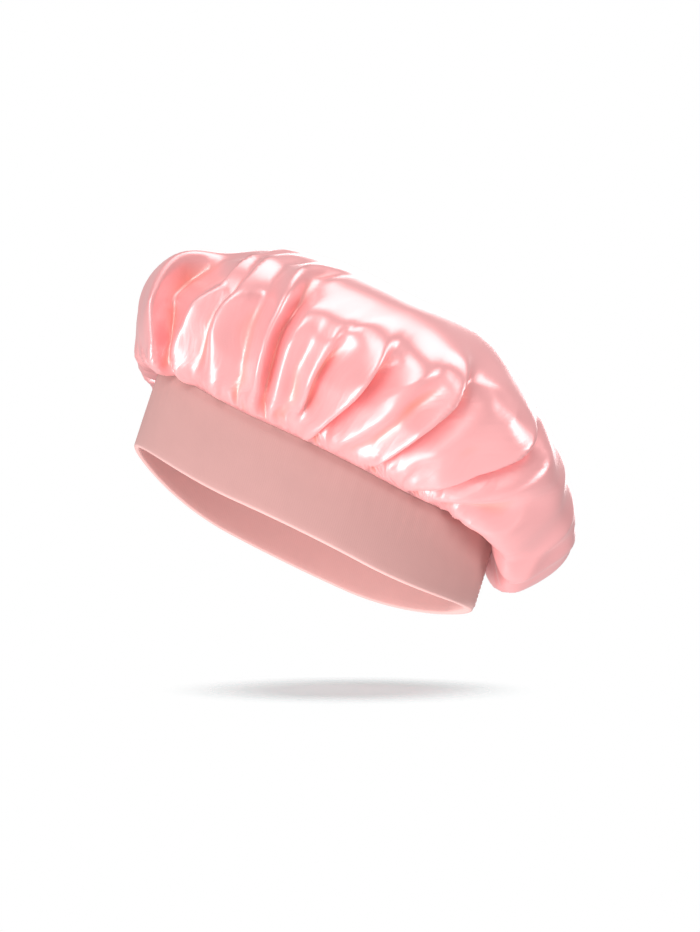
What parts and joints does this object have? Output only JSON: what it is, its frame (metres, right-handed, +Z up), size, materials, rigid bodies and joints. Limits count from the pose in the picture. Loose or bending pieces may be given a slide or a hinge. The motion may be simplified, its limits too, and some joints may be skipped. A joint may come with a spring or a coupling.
{
  "type": "satin hair bonnet",
  "caption": "Sleep bonnet: a round cut of satin gathered on to a wide folded jersey band with an elastic inside, worn over the hair.",
  "frame": {"origin": "middle of the oval rim, at the level of the two straight stretches of the rim on which the bonnet stands", "axes": "+Z up from the rim to the crown, +X from the forehead to the nape, +Y to the wearer's right temple"},
  "size_m": [0.2758, 0.249, 0.1542],
  "materials": {
    "satin": "glossy pink satin weave",
    "jersey": "matte dusty-pink stretch jersey",
    "elastic": "matte off-white woven elastic",
    "pink_thread": "spun polyester sewing thread",
    "white_thread": "spun polyester sewing thread"
  },
  "bodies": {
    "root": {"satin_crown": "satin", "band_cloth": "jersey", "band_elastic": "elastic", "overlock_thread": "pink_thread", "seam_thread": "pink_thread", "band_join_thread": "pink_thread", "elastic_join_thread": "white_thread"}
  },
  "joints": []
}
